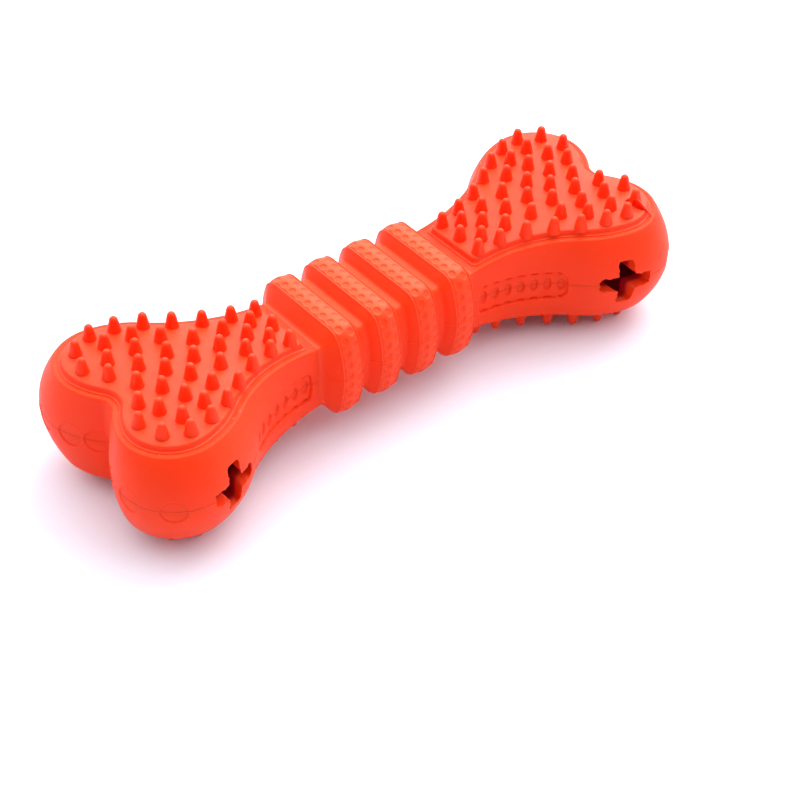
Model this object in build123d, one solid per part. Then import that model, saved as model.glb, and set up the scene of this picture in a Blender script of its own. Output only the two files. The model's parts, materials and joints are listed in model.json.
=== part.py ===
from build123d import *
import os
from math import atan2, cos, degrees, radians, sin, sqrt

# Rubber treat bone: two hollow heart-shaped heads with nubbed pads, joined by a ribbed waist.
# Millimetres. +X runs along the bone, +Z is up, and the bone stands on its lower nub tips at Z = 0.
# Everything is drawn about the parting plane and lifted to its standing height at the end.

# Heights over the parting plane, and below it on the underside, which is hollowed more than the top
pad_crest_height = 15.05
pad_step = 1.45
pad_curve_radius = 326.0
crest_x = 72.0
under_curve_radius = 280.0
under_crest_x = 78.0
climb_facets = 4

# Outline of one head at the parting plane, for the half with positive Y
lobe_x = 73.5
lobe_y = 17.0
lobe_radius = 16.15
side_radius = 30.0
end_radius = 24.0
neck_half_width = 12.5
neck_straight = 1.4
cleft_radius = 2.5
side_turn = 100
end_turn = -15

# How the wall draws in from the parting plane up to the ledge round the pad
draw_back = 1.0
draw_in = 2.7
draw_radius = 2.15
draw_neck = 0.5
wall_height_shares = (0, 0.4, 0.75, 1)

# Treat chamber and its cross openings
shell_wall = 5.5
chamber_gap = 20.9
chamber_half_height = 8.0
cross_x = 65.7
cross_length = 15.5
cross_height = 14.5
cross_arm_width = 4.6
cross_corner_radius = 0.9

# Nubbed pads
ledge_width = 1.8
pad_gap = 3.1
pad_corner_radius = 1.2
pad_straight = 0.3
nub_height = 4.35
nub_base_radius = 1.75
nub_tip_radius = 0.9
nub_tip_round = 0.5
nub_root = 0.6

# Waist, which arches up a little between the heads
waist_lift = 1.2
rib_count = 4
rib_pitch = 12.64
crown_width = 6.54
crown_rise = 0.8
crown_steps = 4
rib_half_width = 17.8
rib_half_height = 13.55
rib_bow = 3.4
rib_corner_radius = 4.6
groove_depth = 3.0
groove_run = 1.9
end_run = 2.9
neck_lip = 0.4
neck_bow = 0.3

overrun = 1.0

# Nub places on one half pad: along the pad's length from its neck edge, and out along its half width
nub_place_shares = (
    (0.06, 0.29), (0.06, 0),
    (0.18, 0.33), (0.13, 0.16),
    (0.31, 0.42), (0.27, 0.19), (0.20, 0),
    (0.43, 0.56), (0.42, 0.23), (0.35, 0),
    (0.54, 0.71), (0.53, 0.43), (0.57, 0.20), (0.49, 0),
    (0.66, 0.82), (0.63, 0.61), (0.67, 0.42), (0.72, 0.20), (0.64, 0),
    (0.78, 0.86), (0.76, 0.66), (0.81, 0.44), (0.86, 0.25), (0.79, 0),
    (0.89, 0.74), (0.93, 0.48),
)

# Places worked out from the sizes above
rib_centres = [(i - (rib_count - 1) / 2) * rib_pitch for i in range(rib_count)]
neck_end_x = rib_centres[-1] + crown_width / 2 + end_run
pad_start_x = neck_end_x + pad_gap
draw_straight = pad_gap + pad_corner_radius + pad_straight - neck_straight
chamber_start_x = neck_end_x + chamber_gap
ledge_crest_height = pad_crest_height - pad_step
stand_height = pad_crest_height + nub_height
head_end_x = lobe_x + lobe_radius
pad_length = lobe_x - draw_back + lobe_radius - draw_radius - ledge_width - pad_start_x
pad_half_width = lobe_y - draw_in + lobe_radius - draw_radius - ledge_width


def pad_profile(drop, under):
    # Points of a pad's climb from the neck to its crest, lowered by a drop, and level from there on
    peak_x, radius = (under_crest_x, under_curve_radius) if under else (crest_x, pad_curve_radius)
    points = []
    for i in range(climb_facets + 1):
        x = neck_end_x + (peak_x - neck_end_x) * i / climb_facets
        points.append((x, pad_crest_height - drop - (peak_x - x) ** 2 / (2 * radius)))
    points.append((head_end_x + overrun, pad_crest_height - drop))
    return points


def height_at(x, under):
    # Height of a pad's faceted surface at a place along the bone
    points = pad_profile(0, under)
    for (x0, z0), (x1, z1) in zip(points, points[1:]):
        if x <= x1:
            return z0 + (z1 - z0) * (x - x0) / (x1 - x0)
    return points[-1][1]


def arc(centre, radius, start, end):
    # Arc about a centre through two angles in degrees
    middle = (start + end) / 2
    points = [
        (centre[0] + radius * cos(radians(a)), centre[1] + radius * sin(radians(a)))
        for a in (start, middle, end)
    ]
    return ThreePointArc(*points)


def angle_to(a, b):
    # Direction from one point to another, in degrees
    return degrees(atan2(b[1] - a[1], b[0] - a[0]))


def head_outline(draw, inset, start_x):
    # Heart outline: neck, concave flare, lobe in three tangent arcs, rounded cleft, then the mirror half.
    # draw is 0 at the parting plane and 1 at the ledge, and inset moves the whole line inwards.
    # The flare's radius follows from where the neck's straight ends and the lobe's side arc begins.
    lobe = (lobe_x - draw * draw_back, lobe_y - draw * draw_in)
    lobe_r = lobe_radius - draw * draw_radius
    side_r = side_radius - draw * draw_radius
    end_r = end_radius - draw * draw_radius
    cleft_r = cleft_radius + draw * draw_radius
    neck_y = neck_half_width - draw * draw_neck
    flare_x = neck_end_x + neck_straight + draw * draw_straight
    side = (
        lobe[0] + (lobe_r - side_r) * cos(radians(side_turn)),
        lobe[1] + (lobe_r - side_r) * sin(radians(side_turn)),
    )
    end = (
        lobe[0] + (lobe_r - end_r) * cos(radians(end_turn)),
        lobe[1] + (lobe_r - end_r) * sin(radians(end_turn)),
    )
    rise = neck_y - side[1]
    flare_r = ((flare_x - side[0]) ** 2 + rise ** 2 - side_r ** 2) / (2 * (side_r - rise))
    flare = (flare_x, neck_y + flare_r)
    cleft = (end[0] + sqrt((end_r + cleft_r) ** 2 - end[1] ** 2), 0)
    lobe_r, side_r, end_r, neck_y = (size - inset for size in (lobe_r, side_r, end_r, neck_y))
    flare_r, cleft_r = (size + inset for size in (flare_r, cleft_r))
    meet = angle_to(side, flare)
    dip = angle_to(end, cleft)
    half = [
        Line((start_x, neck_y), (flare[0], neck_y)),
        arc(flare, flare_r, -90, angle_to(flare, side)),
        arc(side, side_r, meet, side_turn),
        arc(lobe, lobe_r, side_turn, end_turn),
        arc(end, end_r, end_turn, dip),
        arc(cleft, cleft_r, angle_to(cleft, end), 180),
    ]
    other = [mirror(edge, about=Plane.XZ) for edge in half]
    neck = Line((start_x, -neck_y), (start_x, neck_y))
    return make_face([neck, *half, *other])


def bar_under(points, floor):
    # Block across the bone whose top follows the points and whose underside follows the floor points
    outline = Polyline(*points, *reversed(floor), close=True)
    return extrude(Plane.XZ * make_face(outline), amount=lobe_y + lobe_radius + overrun, both=True)


def cross_cut(side):
    # Cross opening through the lobe's side wall, straight along Y, from the chamber to the outside
    cross = Rectangle(cross_length, cross_arm_width) + Rectangle(cross_arm_width, cross_height)
    cross = fillet(cross.vertices(), cross_corner_radius)
    depth = lobe_radius + overrun
    plane = Plane(origin=(cross_x, side * lobe_y, 0), x_dir=(1, 0, 0), z_dir=(0, side, 0))
    return extrude(plane * cross, amount=depth)


def head_half(under):
    # Half of the right-hand head, drawn as an upper one: walls, climb, chamber and half of each cross
    sections = []
    for share in wall_height_shares:
        height = share * (ledge_crest_height + overrun)
        draw = (height / ledge_crest_height) ** 2
        sections.append(Pos(0, 0, height) * head_outline(draw, 0, neck_end_x))
    shell = loft(sections, ruled=True)
    top = pad_profile(pad_step, under)
    shell = shell & bar_under(top, [(top[0][0], 0), (top[-1][0], 0)])
    room = extrude(head_outline(0, shell_wall, neck_end_x), amount=chamber_half_height)
    room = room - Pos(chamber_start_x, 0, 0) * Box(
        2 * (chamber_start_x - neck_end_x + overrun),
        2 * (lobe_y + lobe_radius),
        2 * (chamber_half_height + overrun),
        align=(Align.MAX, Align.CENTER, Align.CENTER),
    )
    return shell - room - cross_cut(1) - cross_cut(-1)


def nub():
    # Tapered nub with a rounded tip, its root sunk into the pad
    slope = (nub_base_radius - nub_tip_radius) / nub_height
    cone = Cone(
        nub_base_radius + slope * nub_root, nub_tip_radius, nub_height + nub_root,
        align=(Align.CENTER, Align.CENTER, Align.MIN),
    )
    tip = cone.edges().filter_by(GeomType.CIRCLE).sort_by(Axis.Z)[-1]
    return Pos(0, 0, -nub_root) * fillet(tip, nub_tip_round)


def nubbed_pad(under):
    # Raised pad of the right-hand head, drawn as a top one, with its nubs fused on
    slab = extrude(head_outline(1, ledge_width, pad_start_x), amount=pad_crest_height + overrun)
    corners = slab.edges().filter_by(Axis.Z).sort_by(Axis.X)[:2]
    slab = fillet(corners, pad_corner_radius)
    plate = slab & bar_under(pad_profile(0, under), pad_profile(pad_step, under))
    one = nub()
    nubs = []
    for along, out in nub_place_shares:
        x = pad_start_x + along * pad_length
        for side in ((1, -1) if out else (0,)):
            nubs.append(Pos(x, side * out * pad_half_width, height_at(x, under)) * one)
    return plate + nubs


def ring(x, middle, half_width, half_height, bow, corner):
    # Section across the bone about a middle height: level top and underside, bowed sides, rounded corners
    edge = half_width - bow
    side = ThreePointArc((edge, -half_height), (half_width, 0), (edge, half_height))
    top = Line((edge, half_height), (-edge, half_height))
    other = mirror(side, about=Plane.YZ)
    under = mirror(top, about=Plane.XZ)
    face = make_face([side, top, other, under])
    plane = Plane(origin=(x, 0, middle), x_dir=(0, 1, 0), z_dir=(1, 0, 0))
    return plane * fillet(face.vertices(), corner)


def rib_ring(x, rise):
    # Section of a rib, raised from its crease, or sunk from it in a groove
    half_height = rib_half_height + rise
    bow = rib_bow * (half_height / rib_half_height) ** 2
    return ring(x, waist_lift, rib_half_width + rise, half_height, bow, rib_corner_radius + rise)


def rib(index):
    # Rib with sloped sides and a bulged crown. The end ribs slope down to the neck on their outer side.
    centre = rib_centres[index]
    foot = crown_width / 2 + groove_run
    feet = {side: rib_ring(centre + side * foot, -groove_depth) for side in (-1, 1)}
    if index in (0, rib_count - 1):
        side = 1 if index else -1
        top, low = (pad_profile(pad_step, under)[0][1] + neck_lip for under in (False, True))
        corner = rib_corner_radius - groove_depth
        half_width = neck_half_width + neck_lip
        feet[side] = ring(side * neck_end_x, (top - low) / 2, half_width, (top + low) / 2, neck_bow, corner)
    sections = [feet[-1]]
    for i in range(crown_steps + 1):
        across = 2 * i / crown_steps - 1
        sections.append(rib_ring(centre + across * crown_width / 2, crown_rise * (1 - across ** 2)))
    sections.append(feet[1])
    return loft(sections, ruled=True)


def groove_web(index):
    # Rubber left at the bottom of one groove, between the feet of two ribs
    foot = crown_width / 2 + groove_run
    return extrude(rib_ring(rib_centres[index] + foot, -groove_depth), amount=rib_pitch - 2 * foot)


def nodes():
    # Every node by name: the right-hand pieces are drawn, and the left-hand ones are their mirror images
    named = {
        "right_head_upper": head_half(False),
        "right_head_lower": mirror(head_half(True), about=Plane.XY),
        "right_top_pad": nubbed_pad(False),
        "right_bottom_pad": mirror(nubbed_pad(True), about=Plane.XY),
    }
    for name, shape in list(named.items()):
        named[name.replace("right", "left")] = mirror(shape, about=Plane.YZ)
    for i in range(rib_count):
        named[f"rib_{i + 1}"] = rib(i)
    for i in range(rib_count - 1):
        named[f"groove_web_{i + 1}"] = groove_web(i)
    return named


os.makedirs("parts", exist_ok=True)
for name, shape in nodes().items():
    export_step(Pos(0, 0, stand_height) * shape, f"parts/{name}.step")
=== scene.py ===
import json
import math
import bpy
from mathutils import Matrix, Vector, kdtree


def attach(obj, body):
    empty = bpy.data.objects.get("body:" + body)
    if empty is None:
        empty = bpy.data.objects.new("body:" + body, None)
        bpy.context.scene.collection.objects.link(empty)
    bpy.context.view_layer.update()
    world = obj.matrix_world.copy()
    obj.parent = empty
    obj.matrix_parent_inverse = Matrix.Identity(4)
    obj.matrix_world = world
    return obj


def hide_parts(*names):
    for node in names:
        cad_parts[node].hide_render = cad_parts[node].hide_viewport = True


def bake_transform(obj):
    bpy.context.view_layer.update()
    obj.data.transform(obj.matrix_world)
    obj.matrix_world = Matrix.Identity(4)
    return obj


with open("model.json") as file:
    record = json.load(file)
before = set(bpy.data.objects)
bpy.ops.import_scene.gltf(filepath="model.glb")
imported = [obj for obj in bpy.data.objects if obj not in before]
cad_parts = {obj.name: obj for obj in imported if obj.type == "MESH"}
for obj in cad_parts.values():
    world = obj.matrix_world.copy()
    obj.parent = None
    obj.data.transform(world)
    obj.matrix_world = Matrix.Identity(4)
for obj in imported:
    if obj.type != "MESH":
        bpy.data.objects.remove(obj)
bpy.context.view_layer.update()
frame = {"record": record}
mm = 0.001
midHeight = 19.4  # parting plane over the floor


# Sizes of a head in millimetres, heights from the parting plane
head = {
    "lobe": (73.5, 17.0), "lobeRadius": 16.15, "sideRadius": 30.0, "endRadius": 24.0, "cleftRadius": 2.5,
    "sideTurn": 100.0, "endTurn": -15.0,
    "neckX": 25.13, "neckHalf": 12.5, "neckStraight": 1.4, "neckCorner": 0.3,
    "drawBack": 1.0, "drawIn": 2.7, "drawRadius": 2.15, "drawNeck": 0.5, "drawStraight": 3.2,
    "crest": 15.05, "step": 1.45, "climb": {"upper": (72.0, 326.0), "lower": (78.0, 280.0)},
    "edge": 0.4, "ledge": 1.6, "gutter": 0.22, "wall": 5.5, "chamberX": 46.0, "chamberHalf": 8.0,
    "points": {
        "neckEnd": 12, "corner": 5, "neckSide": 8, "flare": 130,
        "side": 50, "lobe": 125, "end": 60, "cleft": 10,
    },
}


# Height of a pad's face over the parting plane
def fieldHeight(x, level):
    crestX, radius = head["climb"][level]
    return head["crest"] - max(0.0, crestX - x) ** 2 / (2 * radius)


def spread(start, end, count):
    return [start + (end - start) * i / count for i in range(count)]


def smooth(edge0, edge1, value):
    t = min(1.0, max(0.0, (value - edge0) / (edge1 - edge0)))
    return t * t * (3 - 2 * t)


def mixed(weights, points):
    return [sum(w * p[k] for w, p in zip(weights, points)) for k in range(len(points[0]))]


def pointAt(centre, radius, turn):
    a = math.radians(turn)
    return (centre[0] + radius * math.cos(a), centre[1] + radius * math.sin(a))


def arcPoints(centre, radius, start, end, count):
    return [pointAt(centre, radius, turn) for turn in spread(start, end, count)]


def aim(a, b):
    return math.degrees(math.atan2(b[1] - a[1], b[0] - a[0]))


# Heart outline of the right-hand head, from the middle of the neck round both lobes.
# The draw runs from 0 at the parting plane to 1 at the pads.
def headOutline(draw, inset, startX, corner):
    lobe = (head["lobe"][0] - draw * head["drawBack"], head["lobe"][1] - draw * head["drawIn"])
    shrink = draw * head["drawRadius"]
    lobeR, sideR, endR = (head[k] - shrink for k in ("lobeRadius", "sideRadius", "endRadius"))
    cleftR = head["cleftRadius"] + shrink
    neckY = head["neckHalf"] - draw * head["drawNeck"]
    side = pointAt(lobe, lobeR - sideR, head["sideTurn"])
    end = pointAt(lobe, lobeR - endR, head["endTurn"])
    flareX = head["neckX"] + head["neckStraight"] + draw * head["drawStraight"]
    rise = neckY - side[1]
    flareR = ((flareX - side[0]) ** 2 + rise ** 2 - sideR ** 2) / (2 * (sideR - rise))
    flare = (flareX, neckY + flareR)
    cleft = (end[0] + math.sqrt((endR + cleftR) ** 2 - end[1] ** 2), 0.0)
    lobeR, sideR, endR, neckY = (size - inset for size in (lobeR, sideR, endR, neckY))
    flareR, cleftR = (size + inset for size in (flareR, cleftR))
    points = head["points"]
    half = [(startX, y) for y in spread(0.0, neckY - corner, points["neckEnd"])]
    half += arcPoints((startX + corner, neckY - corner), corner, 180, 90, points["corner"])
    half += [(x, neckY) for x in spread(startX + corner, flare[0], points["neckSide"])]
    half += arcPoints(flare, flareR, -90, aim(flare, side), points["flare"])
    half += arcPoints(side, sideR, aim(side, flare), head["sideTurn"], points["side"])
    half += arcPoints(lobe, lobeR, head["sideTurn"], head["endTurn"], points["lobe"])
    half += arcPoints(end, endR, head["endTurn"], aim(end, cleft), points["end"])
    half += arcPoints(cleft, cleftR, aim(cleft, end), 180, points["cleft"])
    half.append((cleft[0] - cleftR, 0.0))
    return half + [(x, -y) for x, y in reversed(half[1:-1])]


# Outward normals of a closed outline in plan
def outlineNormals(points):
    normals = []
    for i in range(len(points)):
        before = points[i - 1]
        after = points[(i + 1) % len(points)]
        tangent = Vector((after[0] - before[0], after[1] - before[1])).normalized()
        normals.append((-tangent.y, tangent.x))
    return normals


wallOutline = headOutline(0.0, 0.0, head["neckX"], head["neckCorner"])


def deselect():
    if bpy.context.object and bpy.context.object.mode != "OBJECT":
        bpy.ops.object.mode_set(mode="OBJECT")
    bpy.ops.object.select_all(action="DESELECT")


def pick(*objs):
    deselect()
    for obj in objs:
        obj.select_set(True)
    bpy.context.view_layer.objects.active = objs[0]


# A grid is rolled into a closed skin through the rings, then its seam is merged and its ends are capped
def ringSkin(name, rings):
    deselect()
    count = len(rings[0])
    bpy.ops.mesh.primitive_grid_add(x_subdivisions=count, y_subdivisions=len(rings) - 1, size=1)
    obj = bpy.context.object
    obj.name = obj.data.name = name
    flat = []
    for ring in rings:
        for x, y, z in list(ring) + [ring[0]]:
            flat += (x * mm, y * mm, z * mm)
    obj.data.vertices.foreach_set("co", flat)
    bpy.ops.object.mode_set(mode="EDIT")
    bpy.ops.mesh.select_all(action="SELECT")
    bpy.ops.mesh.remove_doubles(threshold=1e-7)
    bpy.ops.mesh.fill_holes(sides=0)
    bpy.ops.mesh.select_all(action="SELECT")
    bpy.ops.mesh.normals_make_consistent(inside=False)
    bpy.ops.object.mode_set(mode="OBJECT")
    return obj


def shade(obj, angle):
    pick(obj)
    bpy.ops.object.shade_smooth_by_angle(angle=math.radians(angle))


def join(first, *others):
    pick(first, *others)
    bpy.ops.object.join()
    return first


def cut(obj, tool, operation):
    pick(obj)
    modifier = obj.modifiers.new("cut", "BOOLEAN")
    modifier.object = tool
    modifier.operation = operation
    modifier.solver = "EXACT"
    bpy.ops.object.modifier_apply(modifier=modifier.name)
    bpy.data.objects.remove(tool)


def flip(obj, axis):
    pick(obj)
    scale = [-1 if a == axis else 1 for a in "XYZ"]
    obj.data.transform(Matrix.Diagonal((*scale, 1)))
    bpy.ops.object.mode_set(mode="EDIT")
    bpy.ops.mesh.select_all(action="SELECT")
    bpy.ops.mesh.normals_make_consistent(inside=False)
    bpy.ops.object.mode_set(mode="OBJECT")
    return obj


# Own-mesh copy, turned over across the chosen axis
def mirrored(obj, name, axis):
    pick(obj)
    bpy.ops.object.duplicate()
    copy = bpy.context.object
    copy.name = copy.data.name = name
    return flip(copy, axis)


# Rubber: slow mottling, sparse pale and dark specks and a fine grain, each noise as scale and detail
grain = {
    "mottle": (70, 5), "pale": (1500, 1), "paleRange": (0.77, 0.81),
    "dark": (1100, 1), "darkRange": (0.22, 0.18), "fine": (1900, 2), "fineShare": 0.6, "coarse": (500, 3),
}
# Painted light masks, as pointiness or normal ranges: edge highlight, hollow shade, sheen on what faces up,
# and the rim
paintedLight = {"edge": (0.51, 0.57), "hollow": (0.495, 0.44), "topSheen": (0.75, 1.0), "rim": (0.2, 0.6)}


def newNode(tree, kind, **inputs):
    node = tree.nodes.new(kind)
    for key, value in inputs.items():
        node.inputs[key].default_value = value
    return node


def mapRange(tree, source, low, high):
    node = newNode(tree, "ShaderNodeMapRange")
    node.interpolation_type = "SMOOTHSTEP"
    node.inputs["From Min"].default_value = low
    node.inputs["From Max"].default_value = high
    tree.links.new(source, node.inputs["Value"])
    return node.outputs["Result"]


def newGroup(name, *outputs):
    tree = bpy.data.node_groups.new(name, "ShaderNodeTree")
    for output in outputs:
        tree.interface.new_socket(output, in_out="OUTPUT", socket_type="NodeSocketFloat")
    return tree, tree.nodes.new("NodeGroupOutput")


def makeGrain():
    tree, out = newGroup("rubberGrain", "Mottle", "Pale", "Dark", "Height")
    coords = tree.nodes.new("ShaderNodeTexCoord")

    def noiseAt(scale, detail):
        node = newNode(tree, "ShaderNodeTexNoise", Scale=scale, Detail=detail)
        tree.links.new(coords.outputs["Object"], node.inputs["Vector"])
        return node.outputs["Fac"]

    tree.links.new(noiseAt(*grain["mottle"]), out.inputs["Mottle"])
    tree.links.new(mapRange(tree, noiseAt(*grain["pale"]), *grain["paleRange"]), out.inputs["Pale"])
    tree.links.new(mapRange(tree, noiseAt(*grain["dark"]), *grain["darkRange"]), out.inputs["Dark"])
    height = newNode(tree, "ShaderNodeMath")
    height.operation = "MULTIPLY_ADD"
    height.inputs[1].default_value = grain["fineShare"]
    tree.links.new(noiseAt(*grain["fine"]), height.inputs[0])
    tree.links.new(noiseAt(*grain["coarse"]), height.inputs[2])
    tree.links.new(height.outputs["Value"], out.inputs["Height"])
    return tree


# Painted light: edges painted paler as a highlight, hollows painted darker as shade and a painted sheen on
# what faces up.
# The rim is the part of the painted edge highlight that faces up.
def makePaintedLight():
    tree, out = newGroup("rubberPaintedLight", "Edge", "Rim", "HollowShade", "TopSheen")
    geometry = tree.nodes.new("ShaderNodeNewGeometry")
    edgeHighlightMask = mapRange(tree, geometry.outputs["Pointiness"], *paintedLight["edge"])
    tree.links.new(edgeHighlightMask, out.inputs["Edge"])
    tree.links.new(mapRange(tree, geometry.outputs["Pointiness"], *paintedLight["hollow"]), out.inputs["HollowShade"])
    parts = tree.nodes.new("ShaderNodeSeparateXYZ")
    tree.links.new(geometry.outputs["Normal"], parts.inputs["Vector"])
    tree.links.new(mapRange(tree, parts.outputs["Z"], *paintedLight["topSheen"]), out.inputs["TopSheen"])
    rim = newNode(tree, "ShaderNodeMath")
    rim.operation = "MULTIPLY"
    tree.links.new(edgeHighlightMask, rim.inputs[0])
    tree.links.new(mapRange(tree, parts.outputs["Z"], *paintedLight["rim"]), rim.inputs[1])
    tree.links.new(rim.outputs["Value"], out.inputs["Rim"])
    return tree


grainGroup = makeGrain()
paintedLightGroup = makePaintedLight()

rubberLook = {
    "rough": (0.43, 0.55), "bump": 0.22, "bumpDepth": 0.15,
    "paleSpeck": (0.35, (1.0, 0.3, 0.2)), "darkSpeck": (0.25, (0.45, 0.01, 0.005)),
    "insideRange": (0.3, 0.65), "scatterRadius": (1.0, 0.25, 0.12), "scatterDepth": 1.5,
}
# Rubber tones: deep and light are the random mottle; the pale tone is a painted sheen on what faces up, the
# edge tone a painted highlight, the hollow tone painted shade and the inside tone painted shade in the
# chamber
tones = {
    "deep": (0.96, 0.037, 0.003), "light": (0.98, 0.048, 0.005), "pale": (0.98, 0.088, 0.022),
    "edgeHighlight": (0.98, 0.14, 0.055), "hollow": (0.62, 0.013, 0.002), "inside": (0.5, 0.005, 0.016),
}
# Ribs and webs take a copy of the tones lighter in green, painted light to brighten their faces
paintedLighterRibTones = {**tones, "deep": (0.96, 0.042, 0.004), "light": (0.98, 0.054, 0.006)}
# Pads take a redder painted shade for the gouge under the torn sliver
padTones = {**tones, "inside": (0.72, 0.012, 0.003)}
# Per piece: painted sheen on what faces up, which painted edge highlight and how much of it, painted shade
# in hollows, then the specular level and scattering
shellFinishAndPaintedLight = {"topSheen": 0.2, "edgeHighlightMask": "Rim", "edgeHighlight": 0.6, "hollow": 0.4, "specular": 0.17, "scatter": 0.45}
padFinishAndPaintedLight = {"topSheen": 0.42, "edgeHighlightMask": "Rim", "edgeHighlight": 0.0, "hollow": 0.0, "specular": 0.24, "scatter": 0.4}
ribFinishAndPaintedLight = {"topSheen": 0.95, "edgeHighlightMask": "Edge", "edgeHighlight": 0.5, "hollow": 0.45, "specular": 0.2, "scatter": 0.0}
webFinishAndPaintedLight = {"topSheen": 0.9, "edgeHighlightMask": "Edge", "edgeHighlight": 0.0, "hollow": 0.0, "specular": 0.17, "scatter": 0.0}


def rubber(name, colours, finishAndPaintedLight):
    material = bpy.data.materials.new(name)
    material.use_nodes = True
    tree = material.node_tree
    shader = tree.nodes["Principled BSDF"]
    groups = []
    for group in (grainGroup, paintedLightGroup):
        node = tree.nodes.new("ShaderNodeGroup")
        node.node_tree = group
        groups.append(node)
    grainNode, paintedLightNode = groups

    def blendTo(source, factor, amount, colour):
        share = newNode(tree, "ShaderNodeMath")
        share.operation = "MULTIPLY"
        share.inputs[1].default_value = amount
        tree.links.new(factor, share.inputs[0])
        mix = newNode(tree, "ShaderNodeMix")
        mix.data_type = "RGBA"
        mix.inputs["B"].default_value = (*colour, 1)
        tree.links.new(share.outputs["Value"], mix.inputs["Factor"])
        if isinstance(source, tuple):
            mix.inputs["A"].default_value = (*source, 1)
        else:
            tree.links.new(source, mix.inputs["A"])
        return mix.outputs["Result"]

    colour = blendTo(colours["deep"], grainNode.outputs["Mottle"], 1.0, colours["light"])
    # Painted sheen on what faces up, painted shade in hollows and a painted highlight on edges
    colour = blendTo(colour, paintedLightNode.outputs["TopSheen"], finishAndPaintedLight["topSheen"], colours["pale"])
    colour = blendTo(colour, paintedLightNode.outputs["HollowShade"], finishAndPaintedLight["hollow"], colours["hollow"])
    colour = blendTo(colour, paintedLightNode.outputs[finishAndPaintedLight["edgeHighlightMask"]], finishAndPaintedLight["edgeHighlight"], colours["edgeHighlight"])
    colour = blendTo(colour, grainNode.outputs["Pale"], *rubberLook["paleSpeck"])
    colour = blendTo(colour, grainNode.outputs["Dark"], *rubberLook["darkSpeck"])
    # Painted shade deep in the chamber and under the torn sliver, from the inside attribute
    inside = tree.nodes.new("ShaderNodeAttribute")
    inside.attribute_name = "inside"
    depth = mapRange(tree, inside.outputs["Fac"], *rubberLook["insideRange"])
    colour = blendTo(colour, depth, 1.0, colours["inside"])
    tree.links.new(colour, shader.inputs["Base Color"])

    rough = newNode(tree, "ShaderNodeMapRange")
    rough.inputs["To Min"].default_value, rough.inputs["To Max"].default_value = rubberLook["rough"]
    tree.links.new(grainNode.outputs["Mottle"], rough.inputs["Value"])
    tree.links.new(rough.outputs["Result"], shader.inputs["Roughness"])
    bump = newNode(
        tree, "ShaderNodeBump", Strength=rubberLook["bump"], Distance=rubberLook["bumpDepth"] * mm,
    )
    tree.links.new(grainNode.outputs["Height"], bump.inputs["Height"])
    tree.links.new(bump.outputs["Normal"], shader.inputs["Normal"])
    shader.inputs["Specular IOR Level"].default_value = finishAndPaintedLight["specular"]
    shader.inputs["Subsurface Weight"].default_value = finishAndPaintedLight["scatter"]
    shader.inputs["Subsurface Radius"].default_value = rubberLook["scatterRadius"]
    shader.inputs["Subsurface Scale"].default_value = rubberLook["scatterDepth"] * mm
    return material


shellRubber = rubber("shellRubber", tones, shellFinishAndPaintedLight)
padRubber = rubber("padRubber", padTones, padFinishAndPaintedLight)
ribRubber = rubber("ribRubber", paintedLighterRibTones, ribFinishAndPaintedLight)
webRubber = rubber("webRubber", paintedLighterRibTones, webFinishAndPaintedLight)
print("rubbers made")


# Head shells: rings run from the recess under a pad over the rim, down the wall and into the chamber
shell = {
    "under": {"x": 29.4, "inset": 1.4, "drop": 0.1}, "foot": {"x": 28.0, "corner": 1.6}, "roof": 1.0,
    "gutterShares": (0.3, 0.9), "ledgeShares": (1.0, 0.85, 0.7, 0.55, 0.42, 0.32),
    "edgeShares": (0.12, 0.26, 0.4, 0.55, 0.7, 0.85, 1.0), "shoulderShares": (0.8, 0.6, 0.4, 0.2),
    "blendZ": 6.0, "fineSteps": (0.16, 17), "plainSteps": (0.26, 11),
    "seamHeights": (0.4, 0.3, 0.2, 0.12, 0.05, 0.0), "seam": 0.12, "seamWidth": 0.17,
    # inside depths: where the painted chamber shade starts and ends behind the outer wall
    "seat": {"x": 1.0, "inset": 2.0}, "insideDepth": (4.4, 5.3), "insideOver": 0.1, "smoothAngle": 38,
}
panel = {
    "from": 28.4, "to": 52.2, "half": {"upper": 4.3, "lower": 5.0}, "round": (1.6, 3.6), "depth": 0.62,
    "edge": (-0.2, 0.06), "fade": (-0.15, 0.1), "reach": 2.0,
    "columns": 7, "pit": (1.15, 2.2), "lens": (1.3, 0.9), "pitDepth": 0.5, "pitEdge": (-0.22, 0.0),
}
disc = {
    "places": ((83.2, 30.0), (89.2, 19.2), (88.0, 9.5), (84.0, 3.2)), "radius": 3.5, "depth": 0.24,
    "edge": (-0.2, 0.1), "bead": 0.08, "beadAt": 0.25, "beadWidth": 0.2, "reach": 1.0,
}
cross = {
    "x": 65.95, "length": 14.2, "height": 14.2, "arm": 4.5, "round": 1.35, "roundSteps": 5, "pointGap": 0.35,
    "inner": 14.0, "outer": 40.0, "smoothDepth": 1.3, "tornDepth": 0.3,
    "ragged": 0.13, "raggedLow": 0.2, "raggedFrom": (-0.5, 1.5), "fineShare": 0.7,
    "wavesAlong": ((2.3, 3.1), (6.1, 5.3)), "wavesUp": ((2.9, -2.1), (5.7, -4.9)),
}


# Distance to a rounded box about the origin, negative inside
def roundedBox(u, v, halfU, halfV, radius):
    du = abs(u) - halfU + radius
    dv = abs(v) - halfV + radius
    return math.hypot(max(du, 0.0), max(dv, 0.0)) + min(max(du, dv), 0.0) - radius


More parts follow.
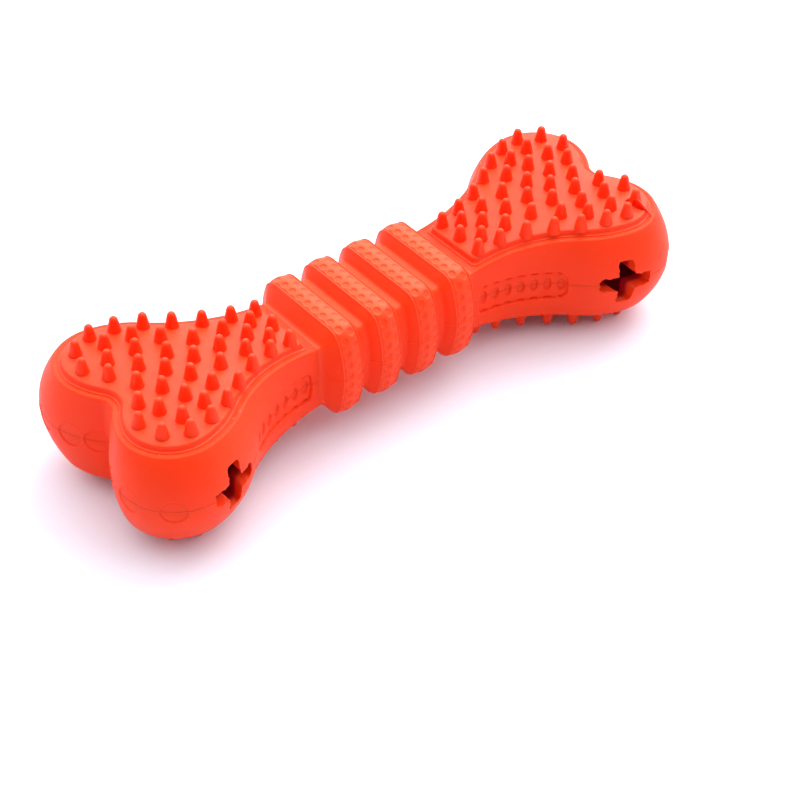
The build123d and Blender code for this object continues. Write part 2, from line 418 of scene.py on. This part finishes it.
# Sunk panel on the neck's side: its floor carries upright ovals with half ovals along both long edges
def panelPush(along, z, length, level):
    halfHeight = panel["half"][level]
    u = along - length / 2
    edge = roundedBox(u, z, length / 2, halfHeight, panel["round"][1 if u > 0 else 0])
    push = -panel["depth"] * (1 - smooth(*panel["edge"], edge))
    pitch = length / panel["columns"]
    middle = (math.floor(along / pitch) + 0.5) * pitch
    inside = 1 - smooth(*panel["fade"], edge)
    for height, (halfU, halfV) in ((0.0, panel["pit"]), (halfHeight, panel["lens"])):
        cell = math.hypot((along - middle) / halfU, (z - height) / halfV) - 1
        push -= panel["pitDepth"] * (1 - smooth(*panel["pitEdge"], cell)) * inside
    return push


# Length along the wall from the panel's inner end, on both sides of the neck, and the panel's own length
def panelRuns():
    count = len(wallOutline)
    along = [-math.inf] * count
    for step in (1, -1):
        run = 0.0
        path = [step * k % count for k in range(count // 2)]
        for before, i in zip(path, path[1:]):
            run += math.dist(wallOutline[i], wallOutline[before])
            along[i] = run
        first = next(along[i] for i in path if wallOutline[i][0] > panel["from"])
        last = next(along[i] for i in path if wallOutline[i][0] > panel["to"])
        for i in path:
            along[i] -= first
    return along, last - first


def headRings(level):
    neckX, corner = head["neckX"], head["neckCorner"]
    loops = [wallOutline] + [headOutline(draw, 0.0, neckX, corner) for draw in (0.5, 1.0)]
    normals = outlineNormals(wallOutline)
    order = range(len(wallOutline))
    along, panelLength = panelRuns()
    ridge = head["crest"] - head["step"]
    foot = headOutline(1.0, head["ledge"], shell["foot"]["x"], shell["foot"]["corner"])
    under = headOutline(1.0, head["ledge"] + shell["under"]["inset"], shell["under"]["x"], corner)
    seat = headOutline(0.0, shell["seat"]["inset"], neckX + shell["seat"]["x"], corner)
    chamber = [(max(x, head["chamberX"]), y) for x, y in headOutline(0.0, head["wall"], neckX, corner)]
    discs = []
    for x, y in disc["places"]:
        for side in (1, -1):
            discs.append(min(wallOutline, key=lambda p: math.dist(p, (x, side * y))))

    def rimHeight(x):
        return fieldHeight(x, level) - head["step"]

    def at(i, z):
        d = (z / ridge) ** 2
        weights = ((2 * d - 1) * (d - 1), 4 * d * (1 - d), d * (2 * d - 1))
        return mixed(weights, [loop[i] for loop in loops])

    def wallPoint(i, z):
        x, y = at(i, z)
        nx, ny = normals[i]
        push = shell["seam"] * math.exp(-(z / shell["seamWidth"]) ** 2)
        for cx, cy in discs:
            reach = math.hypot(x - cx, y - cy, z) - disc["radius"]
            if reach < disc["reach"]:
                push += disc["bead"] * math.exp(-((reach - disc["beadAt"]) / disc["beadWidth"]) ** 2)
                push -= disc["depth"] * (1 - smooth(*disc["edge"], reach))
        if -panel["reach"] < along[i] < panelLength + panel["reach"]:
            push += panelPush(along[i], z, panelLength, level)
        return (x + nx * push, y + ny * push, z)

    shoulder = [rimHeight(x) for x, y in wallOutline]

    def ledgePoint(i, t):
        x, y = (at(i, shoulder[i])[k] * (1 - t) + foot[i][k] * t for k in (0, 1))
        return (x, y, rimHeight(x) - head["gutter"] * smooth(*shell["gutterShares"], t))

    rings = [
        [(x, y, head["chamberHalf"] + shell["roof"]) for x, y in under],
        [(x, y, rimHeight(x) - shell["under"]["drop"]) for x, y in under],
    ]
    for t in shell["ledgeShares"]:
        rings.append([ledgePoint(i, t) for i in order])
    inner = rings[-1]
    top = [ledgePoint(i, 0.0) for i in order]
    edgeZ = [z - head["edge"] for z in shoulder]
    low = [wallPoint(i, edgeZ[i]) for i in order]
    for t in shell["edgeShares"]:
        weights = ((1 - t) ** 2, 2 * t * (1 - t), t * t)
        rings.append([mixed(weights, (inner[i], top[i], low[i])) for i in order])
    blendZ = shell["blendZ"]
    for share in shell["shoulderShares"]:
        rings.append([wallPoint(i, blendZ + share * (edgeZ[i] - blendZ)) for i in order])
    fine, fineCount = shell["fineSteps"]
    plain, plainCount = shell["plainSteps"]
    heights = [blendZ - fine * k for k in range(fineCount)]
    heights += [heights[-1] - plain * k for k in range(1, plainCount + 1)]
    heights += shell["seamHeights"]
    for z in heights:
        rings.append([wallPoint(i, z) for i in order])
    rings.append([(x, y, 0.0) for x, y in seat])
    rings.append([(x, y, 0.0) for x, y in chamber])
    rings.append([(x, y, head["chamberHalf"]) for x, y in chamber])
    return rings


# How far each point lies behind the outer wall, kept on the mesh for the painted shade in the chamber
def markInside(obj):
    tree = kdtree.KDTree(len(wallOutline))
    for i, (x, y) in enumerate(wallOutline):
        tree.insert((x * mm, y * mm, 0), i)
    tree.balance()
    ceiling = (head["chamberHalf"] + shell["insideOver"]) * mm
    values = []
    for vertex in obj.data.vertices:
        depth = tree.find((vertex.co.x, vertex.co.y, 0))[2] / mm
        values.append(smooth(*shell["insideDepth"], depth) if vertex.co.z < ceiling else 0.0)
    layer = obj.data.attributes.new("inside", "FLOAT", "POINT")
    layer.data.foreach_set("value", values)


# Cross with rounded corners, as points about its middle
def crossOutline():
    arm, length, height = (cross[k] / 2 for k in ("arm", "length", "height"))
    quarter = [(length, arm), (arm, arm), (arm, height)]
    corners = quarter + [(-u, v) for u, v in reversed(quarter)]
    corners += [(-u, -v) for u, v in corners]
    outline = []
    for k, corner in enumerate(corners):
        before = Vector(corners[k - 1])
        here = Vector(corner)
        after = Vector(corners[(k + 1) % len(corners)])
        entry = here + (before - here).normalized() * cross["round"]
        leave = here + (after - here).normalized() * cross["round"]
        for t in spread(0.0, 1.0, cross["roundSteps"]) + [1.0]:
            outline.append(entry * (1 - t) ** 2 + here * 2 * t * (1 - t) + leave * t ** 2)
        gap = (after - here).length - 2 * cross["round"]
        for t in spread(0.0, 1.0, max(2, round(gap / cross["pointGap"])))[1:]:
            outline.append(leave + (after - here).normalized() * gap * t)
    return outline


# Uneven tear along an opening's edge: a slow wave with a finer one on it
def tearShift(u, v, waves, phase):
    slow, fine = (a * u + b * v for a, b in waves)
    return math.sin(slow + phase) + cross["fineShare"] * math.sin(fine)


# Cutter for one opening, smooth inside and torn where it leaves the outer wall, most on its upper edges
def crossCutter(side):
    outline = crossOutline()
    wallY = [next(y for x, y in wallOutline if x > cross["x"] + u) for u, v in outline]
    stations = (
        ([cross["inner"]] * len(outline), 0.0), ([y - cross["smoothDepth"] for y in wallY], 0.0),
        ([y - cross["tornDepth"] for y in wallY], 1.0), ([cross["outer"]] * len(outline), 1.0),
    )
    rings = []
    for depths, share in stations:
        ring = []
        for (u, v), y in zip(outline, depths):
            torn = share * cross["ragged"] * (cross["raggedLow"] + smooth(*cross["raggedFrom"], v))
            du = torn * tearShift(u, v, cross["wavesAlong"], side)
            dv = torn * tearShift(u, v, cross["wavesUp"], 2 * side)
            ring.append((cross["x"] + u + du, side * y, v + dv))
        rings.append(ring)
    return ringSkin("crossCutter", rings)


def makeHead(name, level):
    obj = ringSkin(name, headRings(level))
    cutters = [crossCutter(side) for side in (1, -1)]
    cut(obj, join(*cutters), "DIFFERENCE")
    markInside(obj)
    shade(obj, shell["smoothAngle"])
    return obj


headPieces = {
    "right_head_upper": makeHead("rightHeadUpper", "upper"),
    "right_head_lower": flip(makeHead("rightHeadLower", "lower"), "Z"),
}
headPieces["left_head_upper"] = mirrored(headPieces["right_head_upper"], "leftHeadUpper", "X")
headPieces["left_head_lower"] = mirrored(headPieces["right_head_lower"], "leftHeadLower", "X")
print("heads", len(headPieces["right_head_upper"].data.polygons))


# Nubbed pads: nub places as shares of the pad's length and half width.
# Flank as inset and rise, nub as radius and height.
nubShares = (
    (0.06, 0.29), (0.06, 0), (0.18, 0.33), (0.13, 0.16), (0.31, 0.42), (0.27, 0.19), (0.20, 0),
    (0.43, 0.56), (0.42, 0.23), (0.35, 0), (0.54, 0.71), (0.53, 0.43), (0.57, 0.20), (0.49, 0),
    (0.66, 0.82), (0.63, 0.61), (0.67, 0.42), (0.72, 0.20), (0.64, 0),
    (0.78, 0.86), (0.76, 0.66), (0.81, 0.44), (0.86, 0.25), (0.79, 0), (0.89, 0.74), (0.93, 0.48),
)
pad = {
    "startX": 28.2, "length": 56.5, "halfWidth": 26.5, "gap": 0.2, "corner": 1.4, "blockTop": 20.0,
    "barFrom": 24.0, "barTo": 92.0, "barSteps": 44, "barHalf": 34.0, "sink": 0.25,
    "flank": (
        (-0.3, -0.35), (-0.15, 0.0), (0.12, 0.04), (0.32, 0.16), (0.47, 0.4), (0.58, 0.75), (0.68, 1.08),
        (0.82, 1.3), (1.05, 1.42), (1.35, 1.447), (1.4, 1.46),
    ),
    "nub": (
        (1.98, -0.4), (1.9, -0.05), (1.82, 0.15), (1.66, 0.9), (1.41, 2.2), (1.18, 3.3),
        (1.0, 3.85), (0.7, 4.2), (0.3, 4.35),
    ),
    "nubSides": 16, "nubLevel": 3.0, "smoothAngle": 40,
}


# The foot of a nub follows the climb of the pad, and its tip is level
def makeNub(x, y, level):
    rings = []
    sides = pad["nubSides"]
    for radius, height in pad["nub"]:
        lift = smooth(0.0, pad["nubLevel"], height)
        ring = []
        for k in range(sides):
            a = 2 * math.pi * k / sides
            px = x + radius * math.cos(a)
            base = fieldHeight(px, level) * (1 - lift) + fieldHeight(x, level) * lift
            ring.append((px, y + radius * math.sin(a), base + height))
        rings.append(ring)
    return ringSkin("nub", rings)


# A bar with the pad's climb is trimmed by a block that has the pad's outline and its soft flank
def makePad(name, level):
    rings = []
    half = pad["barHalf"]
    for x in spread(pad["barFrom"], pad["barTo"], pad["barSteps"]) + [pad["barTo"]]:
        top = fieldHeight(x, level)
        floor = top - head["step"] - pad["sink"]
        rings.append([(x, -half, top), (x, half, top), (x, half, floor), (x, -half, floor)])
    bar = ringSkin(name, rings)
    rings = []
    for inset, rise in pad["flank"]:
        outline = headOutline(1.0, head["ledge"] + pad["gap"] + inset, pad["startX"] + inset, pad["corner"])
        rings.append([(x, y, fieldHeight(x, level) - head["step"] + rise) for x, y in outline])
    rings.append([(x, y, pad["blockTop"]) for x, y, z in rings[-1]])
    cut(bar, ringSkin("padBlock", rings), "INTERSECT")
    nubs = []
    for along, out in nubShares:
        for side in ((1, -1) if out else (1,)):
            nubs.append(makeNub(pad["startX"] + along * pad["length"], side * out * pad["halfWidth"], level))
    join(bar, *nubs)
    shade(bar, pad["smoothAngle"])
    return bar


# Torn sliver at the edge of one pad: it arches up over a gouge in painted shade and ends in a split down the
# pad's edge.
# Path as place and lift, section as reach, rise and painted shade.
tear = {
    "path": (
        (76.9, -17.3, 0.0), (77.0, -18.1, 0.9), (77.1, -19.3, 1.8), (77.25, -20.7, 2.3), (77.35, -22.1, 2.2),
        (77.75, -23.2, 1.4), (78.25, -24.2, 0.35), (78.45, -24.9, -0.2), (78.8, -25.8, -1.2),
    ),
    "section": (
        (0.45, -0.1, 1.0), (0.05, -0.6, 1.0), (0.2, -0.35, 0.0), (0.0, 0.1, 0.0), (-0.5, -0.1, 0.0),
        (-0.9, -0.3, 0.0),
    ),
    "tipShare": 0.3, "growShare": 0.35, "smoothAngle": 60,
}


def makeTear():
    path = [Vector(p) for p in tear["path"]]
    last = len(path) - 1
    rings = []
    for i, (x, y, lift) in enumerate(path):
        run = path[min(i + 1, last)] - path[max(i - 1, 0)]
        front = Vector((run.y, -run.x)).normalized()
        front *= min(1.0, tear["tipShare"] + tear["growShare"] * min(i, last - i))
        ring = []
        for k, (out, rise, _) in enumerate(tear["section"]):
            ground = min(lift, 0.0) if k in (0, len(tear["section"]) - 1) else lift
            ring.append((x + front.x * out, y + front.y * out, head["crest"] + ground + rise))
        rings.append(ring)
    strip = ringSkin("tornStrip", rings)
    shade(strip, tear["smoothAngle"])
    # Painted shade on the sliver's front face and in the gouge under it
    layer = strip.data.attributes.new("inside", "FLOAT", "POINT")
    marks = [(point, dark) for ring in rings for point, (_, _, dark) in zip(ring, tear["section"])]
    for vertex in strip.data.vertices:
        nearest = min(marks, key=lambda mark: math.dist(vertex.co / mm, mark[0]))
        layer.data[vertex.index].value = nearest[1]
    return strip


padPieces = {
    "right_top_pad": makePad("rightTopPad", "upper"),
    "right_bottom_pad": flip(makePad("rightBottomPad", "lower"), "Z"),
}
padPieces["left_top_pad"] = mirrored(padPieces["right_top_pad"], "leftTopPad", "X")
padPieces["left_bottom_pad"] = mirrored(padPieces["right_bottom_pad"], "leftBottomPad", "X")
join(padPieces["right_top_pad"], makeTear())
print("pads", len(padPieces["right_top_pad"].data.polygons))


# Ribs: a crown with lips and two rows of dimples, and a slope at each side
rib = {
    "pitch": 12.64, "crown": 6.54, "rise": 0.75, "halfWidth": 17.8, "halfHeight": 13.55,
    "bow": 3.4, "corner": 4.6, "middle": 1.2, "deep": 3.0, "run": 1.9, "points": 480, "smoothAngle": 40,
    "lip": 0.26, "lipAt": 0.14, "lipWidth": 0.15, "rut": 0.16, "rutAt": 0.62, "rutWidth": 0.18,
    "seam": 0.3, "seamWidth": 0.2,
    "edgeSteps": (0.0, 0.08, 0.16, 0.24, 0.33, 0.44, 0.56, 0.68, 0.8), "flatHalf": 2.4, "flatSteps": 26,
    "slopeShares": (0.03, 0.12, 0.35, 0.6, 0.85, 1.0),
}
dimple = {"radius": 1.15, "depth": 0.3, "edge": (0.55, 1.0), "row": 1.35, "pitch": 3.3}
skirt = {
    "reach": 0.9, "lift": 0.03, "neckBow": 0.3, "neckCorner": 0.9,
    "slopeShares": (0.03, 0.12, 0.3, 0.5, 0.66, 0.76), "turnShares": (0.15, 0.3, 0.45, 0.6, 0.8, 1.0),
}


# Section across the bone with bowed sides and rounded corners: evenly spaced points with outward normals
def ribLoop(halfWidth, halfHeight, bow, corner, count):
    sideR = (halfHeight ** 2 + bow ** 2) / (2 * bow)
    sideY = halfWidth - sideR
    cornerZ = halfHeight - corner
    cornerY = sideY + math.sqrt((sideR - corner) ** 2 - cornerZ ** 2)
    turn = math.atan2(cornerZ, cornerY - sideY)
    runs = (sideR * turn, corner * (math.pi / 2 - turn), cornerY)
    quarterRun = sum(runs)
    quarter = []
    for k in range(count // 4 + 1):
        s = quarterRun * k / (count // 4)
        if s < runs[0]:
            a = s / sideR
            quarter.append((sideY + sideR * math.cos(a), sideR * math.sin(a), math.cos(a), math.sin(a)))
        elif s < runs[0] + runs[1]:
            a = turn + (s - runs[0]) / corner
            ny, nz = math.cos(a), math.sin(a)
            quarter.append((cornerY + corner * ny, cornerZ + corner * nz, ny, nz))
        else:
            quarter.append((max(0.0, quarterRun - s), halfHeight, 0.0, 1.0))
    half = quarter + [(-y, z, -ny, nz) for y, z, ny, nz in reversed(quarter[:-1])]
    return half + [(y, -z, ny, -nz) for y, z, ny, nz in reversed(half[1:-1])], 4 * quarterRun


def ribSection(rise, count):
    halfHeight = rib["halfHeight"] + rise
    bow = rib["bow"] * (halfHeight / rib["halfHeight"]) ** 2
    return ribLoop(rib["halfWidth"] + rise, halfHeight, bow, rib["corner"] + rise, count)


# Ring of points round the neck, which is deeper above the parting plane than below it
def neckRing(x, side, lift):
    top, low = (fieldHeight(x, level) - head["step"] + lift for level in ("upper", "lower"))
    loop, _ = ribLoop(
        head["neckHalf"] + lift, (top + low) / 2, skirt["neckBow"], skirt["neckCorner"], rib["points"],
    )
    return [(side * x, y, z + (top - low) / 2) for y, z, _, _ in loop]


def between(a, b, t):
    return [tuple(p + (q - p) * t for p, q in zip(pa, pb)) for pa, pb in zip(a, b)]


def makeRib(index):
    centre = (index - 1.5) * rib["pitch"]
    half = rib["crown"] / 2
    count = rib["points"]
    crease, total = ribSection(0.0, count)
    foot = ribSection(-rib["deep"], count)[0]
    pitch = total / round(total / dimple["pitch"])

    def seamPush(z, ny):
        return rib["seam"] * math.exp(-(z / rib["seamWidth"]) ** 2) if abs(ny) > 0.5 else 0.0

    def ringAt(reach, loop):
        ring = []
        for y, z, ny, nz in loop:
            out = seamPush(z, ny)
            ring.append((centre + reach, y + ny * out, z + nz * out + rib["middle"]))
        return ring

    # One side of the rib from its crease down, ending in a soft skirt on the neck where there is one
    def sideRings(side):
        top = ringAt(side * half, crease)
        if side * (index - 1.5) < 1:
            low = ringAt(side * (half + rib["run"]), foot)
            return [between(top, low, t) for t in rib["slopeShares"]]
        corner = neckRing(head["neckX"], side, 0.0)
        outer = neckRing(head["neckX"] + skirt["reach"], side, skirt["lift"])
        rings = [between(top, corner, t) for t in skirt["slopeShares"]]
        inner = rings[-1]
        for t in skirt["turnShares"]:
            rings.append(between(between(inner, corner, t), between(corner, outer, t), t))
        return rings

    def crownRing(dx):
        fromEdge = half - abs(dx)
        push = rib["rise"] * (1 - (dx / half) ** 2)
        push += rib["lip"] * math.exp(-((fromEdge - rib["lipAt"]) / rib["lipWidth"]) ** 2)
        push -= rib["rut"] * math.exp(-((fromEdge - rib["rutAt"]) / rib["rutWidth"]) ** 2)
        ring = []
        for k, (y, z, ny, nz) in enumerate(crease):
            s = total * k / count
            out = push + seamPush(z, ny)
            for row, shift in ((-dimple["row"], 0.5), (dimple["row"], 0.0)):
                near = (s / pitch - shift - math.floor(s / pitch - shift + 0.5)) * pitch
                reach = math.hypot(near, dx - row) / dimple["radius"]
                if reach < 1.0:
                    out -= dimple["depth"] * (1 - smooth(*dimple["edge"], reach))
            ring.append((centre + dx, y + ny * out, z + nz * out + rib["middle"]))
        return ring

    flat, flatSteps = rib["flatHalf"], rib["flatSteps"]
    steps = [-half + e for e in rib["edgeSteps"]]
    steps += [-flat + 2 * flat * k / flatSteps for k in range(1, flatSteps)]
    steps += [half - e for e in reversed(rib["edgeSteps"])]
    rings = list(reversed(sideRings(-1))) + [crownRing(dx) for dx in steps] + sideRings(1)
    obj = ringSkin(f"rib{index + 1}", rings)
    shade(obj, rib["smoothAngle"])
    return obj


ribPieces = {f"rib_{i + 1}": makeRib(i) for i in range(4)}
print("ribs", len(ribPieces["rib_1"].data.polygons))


# Groove webs: the rubber at the bottom of each groove, swept up into the ribs at both sides
web = {
    "half": 1.16, "flat": 0.44, "sweep": 1.3, "turn": 57.7, "turnSteps": 6, "lift": 0.02, "points": 240,
    "smoothAngle": 50,
}


def makeWeb(index):
    centre = (index - 1) * rib["pitch"]
    profile = [(0.0, 0.0), (web["flat"] / 2, 0.0)]
    for k in range(web["turnSteps"] + 1):
        a = math.radians(web["turn"] * k / web["turnSteps"])
        profile.append((web["flat"] + web["sweep"] * math.sin(a), web["sweep"] * (1 - math.cos(a))))
    profile = [(-dx, rise) for dx, rise in reversed(profile[1:])] + profile
    rings = []
    for dx, rise in profile:
        loop, _ = ribSection(rise - rib["deep"] + web["lift"], web["points"])
        rings.append([(centre + dx, y, z + rib["middle"]) for y, z, _, _ in loop])
    obj = ringSkin(f"grooveWeb{index + 1}", rings)
    shade(obj, web["smoothAngle"])
    return obj


webPieces = {f"groove_web_{i + 1}": makeWeb(i) for i in range(3)}
print("webs", len(webPieces["groove_web_1"].data.polygons))


# Each finished piece is lifted to its height, takes over its node and gives back the body that carries it
def take(obj, node, material):
    obj.data.transform(Matrix.Translation((0, 0, midHeight * mm)))
    obj.data.materials.clear()
    obj.data.materials.append(material)
    body = next(name for name, nodes in frame["record"]["behaviour"]["bodies"].items() if node in nodes)
    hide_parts(node)
    return body


for pieces, material, slotName in (
    (headPieces, shellRubber, "shell_rubber"), (padPieces, padRubber, "pad_rubber"),
    (ribPieces, ribRubber, "rib_rubber"),
):
    for node, obj in pieces.items():
        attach(obj, take(obj, node, material))
for i, (node, obj) in enumerate(webPieces.items()):
    take(obj, node, webRubber)
    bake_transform(obj)
print("pieces placed")


# Pale floor, a sky that is brightest behind the bone, three soft lamps and the camera
floorLook = {"size": 6, "colour": (0.775, 0.815, 0.92), "rough": 0.7}
sky = {"bright": (0.37, 0.64, 0.67), "from": -0.15, "to": 0.95, "low": 0.29, "high": 2.4}
lamps = {
    "keyBack": {"turn": 22, "rise": 46, "distance": 1.5, "size": (1.2, 1.0), "watts": 12},
    "fillFront": {"turn": -46, "rise": 38, "distance": 1.5, "size": (1.2, 1.0), "watts": 6.2},
    "fillLeft": {"turn": -165, "rise": 42, "distance": 1.5, "size": (1.2, 1.0), "watts": 1.3},
}
camera = {
    "place": (-0.2647, -0.3361, 0.3643), "right": (0.7727, -0.6347, 0.0), "up": (0.4176, 0.5084, 0.7530),
    "roll": 0.89, "lens": 91.73, "sensor": 36,
}


def makeFloor():
    deselect()
    bpy.ops.mesh.primitive_plane_add(size=floorLook["size"])
    floor = bpy.context.object
    floor.name = "floor"
    material = bpy.data.materials.new("floorWhite")
    material.use_nodes = True
    shader = material.node_tree.nodes["Principled BSDF"]
    shader.inputs["Base Color"].default_value = (*floorLook["colour"], 1)
    shader.inputs["Roughness"].default_value = floorLook["rough"]
    floor.data.materials.append(material)


def makeSky():
    world = bpy.context.scene.world or bpy.data.worlds.new("world")
    bpy.context.scene.world = world
    world.use_nodes = True
    tree = world.node_tree
    background = tree.nodes["Background"]
    background.inputs["Color"].default_value = (1, 1, 1, 1)
    direction = tree.nodes.new("ShaderNodeTexCoord")
    facing = tree.nodes.new("ShaderNodeVectorMath")
    facing.operation = "DOT_PRODUCT"
    facing.inputs[1].default_value = sky["bright"]
    tree.links.new(direction.outputs["Generated"], facing.inputs[0])
    strength = tree.nodes.new("ShaderNodeMapRange")
    strength.interpolation_type = "SMOOTHSTEP"
    for key, value in (("From Min", "from"), ("From Max", "to"), ("To Min", "low"), ("To Max", "high")):
        strength.inputs[key].default_value = sky[value]
    tree.links.new(facing.outputs["Value"], strength.inputs["Value"])
    tree.links.new(strength.outputs["Result"], background.inputs["Strength"])


def makeLamp(name, values):
    deselect()
    turn, rise = math.radians(values["turn"]), math.radians(values["rise"])
    away = Vector((math.cos(turn) * math.cos(rise), math.sin(turn) * math.cos(rise), math.sin(rise)))
    bpy.ops.object.light_add(type="AREA", location=away * values["distance"])
    lamp = bpy.context.object
    lamp.name = name
    lamp.data.shape = "RECTANGLE"
    lamp.data.size, lamp.data.size_y = values["size"]
    lamp.data.energy = values["watts"]
    lamp.rotation_euler = (-away).to_track_quat("-Z", "Y").to_euler()


def makeCamera():
    deselect()
    bpy.ops.object.camera_add()
    obj = bpy.context.object
    roll = math.radians(camera["roll"])
    right = Vector(camera["right"]) * math.cos(roll) + Vector(camera["up"]) * math.sin(roll)
    up = -Vector(camera["right"]) * math.sin(roll) + Vector(camera["up"]) * math.cos(roll)
    back = right.cross(up)
    turn = Matrix((right, up, back)).transposed().to_4x4()
    obj.matrix_world = Matrix.Translation(camera["place"]) @ turn
    obj.data.sensor_width = camera["sensor"]
    obj.data.lens = camera["lens"]
    bpy.context.scene.camera = obj


makeFloor()
makeSky()
for name, values in lamps.items():
    makeLamp(name, values)
makeCamera()
bpy.context.scene.view_settings.view_transform = "Standard"
print("floor, light and camera set")
